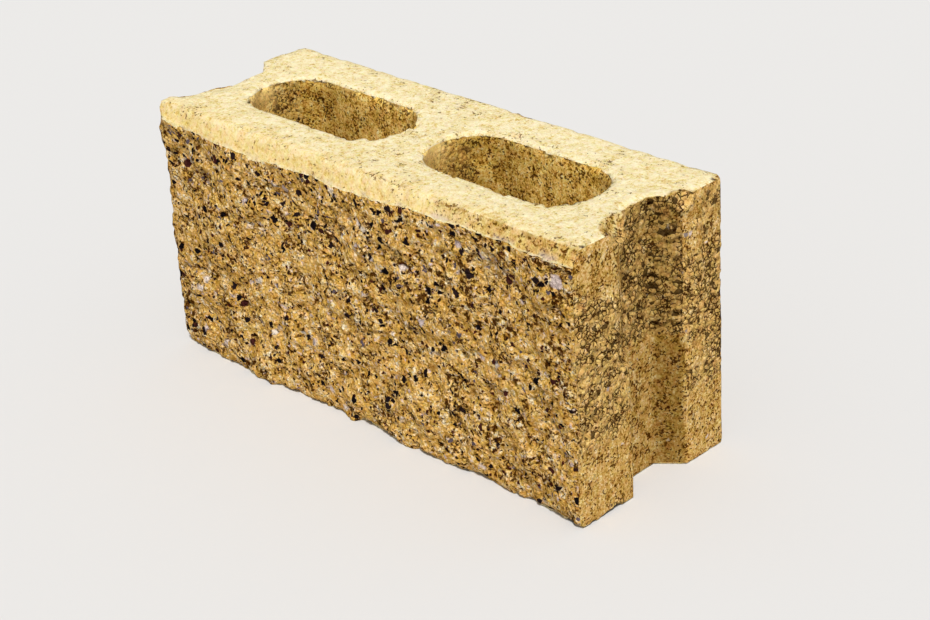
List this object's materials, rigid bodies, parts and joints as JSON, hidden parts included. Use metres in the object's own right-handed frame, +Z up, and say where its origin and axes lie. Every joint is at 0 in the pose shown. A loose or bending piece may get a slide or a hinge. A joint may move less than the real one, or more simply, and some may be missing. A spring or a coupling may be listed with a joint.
{
  "type": "split-face concrete block",
  "caption": "Yellow vibropressed hollow concrete facing block with round-ended cores, grooved ends and one rough split face under a bevelled top edge.",
  "frame": {"origin": "centre of the bottom bed, at floor level", "axes": "+X along the length, -Y out of the split face, +Y out of the back, +Z up from the bottom bed to the top bed"},
  "size_m": [0.39, 0.14, 0.188],
  "materials": {
    "concrete": "pigmented semi-dry vibropressed concrete: fine beds, open-textured ends, and a split face with dark and pale stones"
  },
  "bodies": {
    "root": {"concrete_block": "concrete"}
  },
  "joints": []
}
